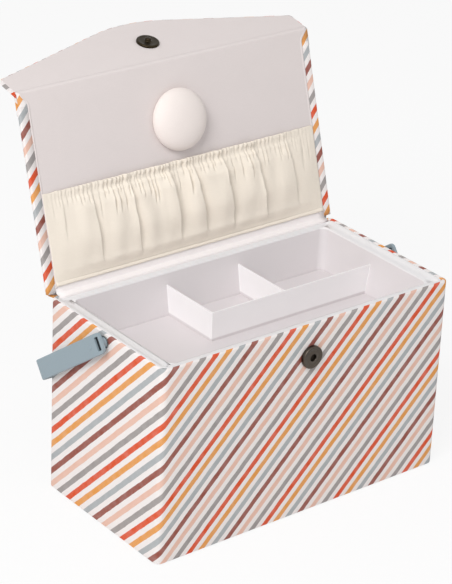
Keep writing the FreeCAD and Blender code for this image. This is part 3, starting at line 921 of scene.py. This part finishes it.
def pocket_hem():
    """The flat hem along the foot of the pocket, whose lower edge stands off the hinge lining."""
    puff_width = 5.0 * MM
    puff_height = 2.0 * MM
    sway_width = 16.0 * MM
    sway_reach = 0.25 * MM
    row_length = 0.8 * MM
    low, high = span("pocket_binding", HINGE, LID_ALONG)
    section = ((high + 1.2 * MM, 0.45 * MM), (high - 0.2 * MM, 1.05 * MM), (low + 0.9 * MM, 1.45 * MM),
               (low + 0.2 * MM, 1.42 * MM), (low, 1.15 * MM), (low + 0.25 * MM, 0.8 * MM),
               (low + 0.8 * MM, 0.3 * MM))
    rows = len(section) - 1
    across = evenly(-POCKET_HALF, POCKET_HALF, 160)[::-1]
    along = [stop._replace(far=stop.far * row_length) for stop in evenly(0, rows, rows)]

    def place(over, up):
        reach, stand = section[round(up.at)]
        puff = 1 + 0.10 * drift(over.at, puff_width, reach / puff_height, 2.0)
        sway = sway_reach * drift(over.at, sway_width, 0.0, 6.0)
        return on_lid(over.at, reach + sway, -stand * puff)

    piece = laid_cloth("pocket_hem", across, along, place, LINING_CLOTH)
    finished(piece, CREAM, "lid")
    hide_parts("pocket_binding")
    return piece


# Pin cushion: its half section from the foot to the crown, as shares of its radius and rise
CUSHION_SHARES = ((0.84, 0.01), (0.925, 0.05), (0.975, 0.11), (1.0, 0.20), (1.0, 0.29), (0.983, 0.39),
                   (0.948, 0.50), (0.892, 0.62), (0.808, 0.73), (0.70, 0.82), (0.567, 0.895), (0.42, 0.948),
                   (0.27, 0.98), (0.13, 0.996), (0.0, 1.0))


def pin_cushion():
    """A stuffed dome whose cloth is drawn in and gathered under its foot."""
    gathers = 46
    gather_share = 0.42
    gather_depth = 0.012
    side = Vector((1, 0, 0))
    middle = on_lid(0, CUSHION_REACH, 0)
    profile = [(out * CUSHION_RADIUS, up * CUSHION_RISE) for out, up in CUSHION_SHARES]
    piece = spun_piece("pin_cushion", profile, middle, -LID_OUT, 120)
    flat = piece.data.uv_layers.new(name="flat").data
    for vert in piece.data.vertices:
        out = vert.co - middle
        height = -out.dot(LID_OUT)
        angle = math.atan2(out.dot(LID_ALONG), out.dot(side))
        foot = max(0.0, 1 - height / (gather_share * CUSHION_RISE)) ** 1.6
        pull = gather_depth * foot * math.sin(gathers * angle + 2 * math.sin(5 * angle))
        vert.co += (out + LID_OUT * height) * pull
    for loop in piece.data.loops:
        out = piece.data.vertices[loop.vertex_index].co - middle
        flat[loop.index].uv = (out.dot(side), out.dot(LID_ALONG))
    puff = piece.modifiers.new("rounded", "SUBSURF")
    puff.levels = 1
    puff.render_levels = 1
    finished(piece, CUSHION, "lid")
    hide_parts("cushion_pad")


# Rigid pieces
def tray_moulding():
    """The tray with the soft edges of a moulding."""
    piece = eased_copy("tray", "tray_moulding", TRAY_EASE, MOULDED_EDGE_DEG)
    finished(piece, TRAY, "tray")
    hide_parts("tray")


# How the tray's edge turns up on the left, right, front and back, in mm:
# rise, reach past the flange and width on the flange
LIP_TURNS = ((2.6, 4.6, 7.4), (2.2, 1.9, 7.4), (2.6, 3.1, 4.4), (0.5, 0.2, 4.4))
# Section of that edge from the opening outwards, as shares of its whole width and rise
LIP_SHARES = ((0.0, 0.02), (0.15, 0.05), (0.35, 0.09), (0.55, 0.20), (0.66, 0.42), (0.75, 0.74),
              (0.82, 0.93), (0.88, 1.0), (0.97, 1.0), (1.0, 0.97))
LIP_THICK = 0.12 * MM
FLANGE_ROUND = 4.0 * MM


def tray_lip():
    """The tray's thin edge: it turns up at the mouth and laps over the rim at the front and left."""
    low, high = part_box("tray")
    loop = [(0, high.y), (low.x, high.y), (low.x, low.y), (high.x, low.y), (high.x, high.y), (0, high.y)]
    across = rounded_path(loop, [FLANGE_ROUND] * 4, COARSE_STEP)
    rows = len(LIP_SHARES) - 1

    def place(round_tray, up_lip):
        out = Vector((round_tray.way.y, -round_tray.way.x))
        holds = [max(0, part) ** 2 for part in (-out.x, out.x, -out.y, out.y)]
        rise, reach, width = [sum(hold * size for hold, size in zip(holds, sizes)) * MM
                              for sizes in zip(*LIP_TURNS)]
        out_share, up_share = LIP_SHARES[round(up_lip.at)]
        spot = round_tray.at + out * ((reach + width) * out_share - width)
        return Vector((spot.x, spot.y, high.z + rise * up_share))

    piece = laid_cloth("tray_lip", across, evenly(0, rows, rows), place, LIP_THICK)
    finished(piece, TRAY, "tray")


def swing_handle():
    """The moulded strap with softened edges."""
    piece = eased_copy("handle", "swing_handle", HANDLE_EASE, MOULDED_EDGE_DEG)
    finished(piece, HANDLE, "handle")
    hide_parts("handle")


# Half sections of the snap from its foot to its middle, as radius and height in mm
SNAP_SOCKET_PROFILE = (
    (8.6, 0.0), (9.0, 0.35), (9.0, 2.7), (8.85, 3.2), (8.5, 3.5), (8.0, 3.6), (7.5, 3.55), (7.2, 3.3),
    (7.0, 3.1), (4.8, 3.1), (4.3, 3.2), (3.5, 3.5), (3.1, 3.55), (2.9, 3.4), (2.85, 3.0), (2.85, 0.7),
    (2.4, 0.6), (0.0, 0.6))
SNAP_STUD_PROFILE = (
    (8.6, 0.0), (9.0, 0.3), (9.0, 1.2), (8.75, 1.75), (8.2, 2.0), (7.4, 2.05), (7.0, 1.95), (3.2, 1.95),
    (2.5, 2.1), (2.3, 2.4), (2.3, 3.7), (2.1, 4.15), (1.6, 4.35), (0.8, 4.4), (0.0, 4.4))


def snap_half(name, node, profile, start, axis, body, finish):
    """One half of the magnetic snap, turned from its section."""
    piece = spun_piece(name, [(radius * MM, height * MM) for radius, height in profile], start, axis, 72)
    sharp_deg = 50
    piece.data.set_sharp_from_angle(angle=math.radians(sharp_deg))
    finished(piece, finish, body)
    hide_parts(node)


def magnetic_snap():
    """Socket on the front of the box and stud on the flap's lining."""
    low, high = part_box("snap_socket")
    snap_half("snap_socket_disc", "snap_socket", SNAP_SOCKET_PROFILE,
              Vector((0, -HALF_DEPTH, (low.z + high.z) / 2)), Vector((0, -1, 0)), "box", SNAP)
    stud_reach = sum(span("snap_stud", FOLD, FLAP_ALONG)) / 2
    snap_half("snap_stud_disc", "snap_stud", SNAP_STUD_PROFILE, on_flap(0, stud_reach, FLAP_FACE),
              -FLAP_OUT, "flap", DARK_SNAP)


NODE_FINISHES = {
    "front_board": GREYBOARD, "back_board": GREYBOARD, "left_board": GREYBOARD, "right_board": GREYBOARD,
    "base_board": GREYBOARD, "lid_board": GREYBOARD, "flap_board": GREYBOARD, "cushion_card": LINER_CARD,
    "floor_card": LINER_CARD, "front_liner": LINER_CARD, "back_liner": LINER_CARD,
    "left_liner": LINER_CARD, "right_liner": LINER_CARD, "base_sheet": BASE_PAPER,
    "eyelet_left": EYELET, "eyelet_right": EYELET, "handle_pin_left": PIN,
    "handle_pin_right": PIN, "snap_socket_washer": WASHER, "snap_stud_washer": WASHER}


def dress_solids():
    """Finish the solids whose own shape is shown."""
    for node, finish in NODE_FINISHES.items():
        solid = frame["nodes"][node]
        solid.data.materials.clear()
        solid.data.materials.append(finish)


# Studio
CAMERA_AZIMUTH = math.radians(-39.006)
CAMERA_ELEVATION = math.radians(25.867)
CAMERA_ROLL = math.radians(-2.634)
CAMERA_DISTANCE = 1791.46 * MM
CAMERA_ASIDE = -19.865 * MM
CAMERA_ABOVE = 68.326 * MM
CAMERA_AIM = Vector((0, 0, 80 * MM))
CAMERA_LENS = 144.75
CAMERA_CLIP = 0.05
WHITE = (1, 1, 1, 1)
SURROUND_LIGHT = 0.53
SURROUND_SEEN = 1.0
FLOOR_HALF = 6.0
FLOOR_TINT = (0.86, 0.86, 0.86, 1)
FLOOR_GLOW = 1.0
FLOOR_GLOW_SHARE = 0.86
LAMP_AIM = Vector((0, 0, 0.12))


def camera():
    """The photograph's view."""
    back = Vector((math.sin(CAMERA_AZIMUTH) * math.cos(CAMERA_ELEVATION),
                   -math.cos(CAMERA_AZIMUTH) * math.cos(CAMERA_ELEVATION), math.sin(CAMERA_ELEVATION)))
    right = Vector((math.cos(CAMERA_AZIMUTH), math.sin(CAMERA_AZIMUTH), 0))
    up = back.cross(right)
    place = CAMERA_AIM + right * CAMERA_ASIDE + up * CAMERA_ABOVE + back * CAMERA_DISTANCE
    turn = Matrix((right, up, back)).transposed() @ Matrix.Rotation(CAMERA_ROLL, 3, "Z").transposed()
    data = bpy.data.cameras.new("view")
    data.lens = CAMERA_LENS
    data.clip_start = CAMERA_CLIP
    seen = bpy.data.objects.new("view", data)
    seen.matrix_world = Matrix.Translation(place) @ turn.to_4x4()
    bpy.context.scene.collection.objects.link(seen)
    bpy.context.scene.camera = seen


def softbox(name, place, size, power):
    """A large square lamp that points at the object."""
    data = bpy.data.lights.new(name, "AREA")
    data.shape = "SQUARE"
    data.size = size
    data.energy = power
    lamp = bpy.data.objects.new(name, data)
    lamp.location = place
    lamp.rotation_euler = (LAMP_AIM - Vector(place)).to_track_quat("-Z", "Y").to_euler()
    bpy.context.scene.collection.objects.link(lamp)


def white_to_the_eye(tree, plain, bright, output):
    """Show a bright shader to the camera and in reflections, and a plain one to all other light."""
    path = tree.nodes.new("ShaderNodeLightPath")
    seen = None
    for name in ("Is Camera Ray", "Is Glossy Ray", "Is Transmission Ray"):
        if seen is None:
            seen = path.outputs[name]
            continue
        either = tree.nodes.new("ShaderNodeMath")
        either.operation = "MAXIMUM"
        tree.links.new(seen, either.inputs[0])
        tree.links.new(path.outputs[name], either.inputs[1])
        seen = either.outputs[0]
    mix = tree.nodes.new("ShaderNodeMixShader")
    tree.links.new(seen, mix.inputs[0])
    tree.links.new(plain, mix.inputs[1])
    tree.links.new(bright, mix.inputs[2])
    tree.links.new(mix.outputs[0], output)


def studio():
    """White floor that keeps a faint shadow, white surroundings and soft lamps."""
    world = bpy.data.worlds.new("surroundings")
    bpy.context.scene.world = world
    world.use_nodes = True
    tree = world.node_tree
    plain = tree.nodes["Background"]
    plain.inputs["Color"].default_value = WHITE
    plain.inputs["Strength"].default_value = SURROUND_LIGHT
    bright = tree.nodes.new("ShaderNodeBackground")
    bright.inputs["Color"].default_value = WHITE
    bright.inputs["Strength"].default_value = SURROUND_SEEN
    output = tree.nodes["World Output"].inputs["Surface"]
    white_to_the_eye(tree, plain.outputs[0], bright.outputs[0], output)

    shape = bmesh.new()
    bmesh.ops.create_grid(shape, x_segments=1, y_segments=1, size=FLOOR_HALF)
    floor = shown(shape, "floor")
    finish = bpy.data.materials.new("floor")
    finish.use_nodes = True
    tree = finish.node_tree
    paper = tree.nodes["Principled BSDF"]
    paper.inputs["Base Color"].default_value = FLOOR_TINT
    paper.inputs["Roughness"].default_value = 1.0
    paper.inputs["Specular IOR Level"].default_value = 0.0
    glow = tree.nodes.new("ShaderNodeEmission")
    glow.inputs["Strength"].default_value = FLOOR_GLOW
    veil = tree.nodes.new("ShaderNodeMixShader")
    veil.inputs[0].default_value = FLOOR_GLOW_SHARE
    tree.links.new(paper.outputs[0], veil.inputs[1])
    tree.links.new(glow.outputs[0], veil.inputs[2])
    output = tree.nodes["Material Output"].inputs["Surface"]
    white_to_the_eye(tree, paper.outputs[0], veil.outputs[0], output)
    floor.data.materials.append(finish)

    softbox("key", place=(-1.5, -0.7, 1.8), size=1.1, power=34.0)
    softbox("fill", place=(0.4, -1.8, 1.3), size=1.4, power=2.0)


box_cloth()
lid_cloth()
hinge_cloth()
fold_cloth()
flap_cloth()
fold_margin()
lid_lining()
flap_lining()
hinge_lining()
gathered_pocket(pocket_hem())
pin_cushion()
tray_moulding()
tray_lip()
swing_handle()
magnetic_snap()
dress_solids()
studio()
camera()
bpy.context.scene.view_settings.view_transform = "Standard"
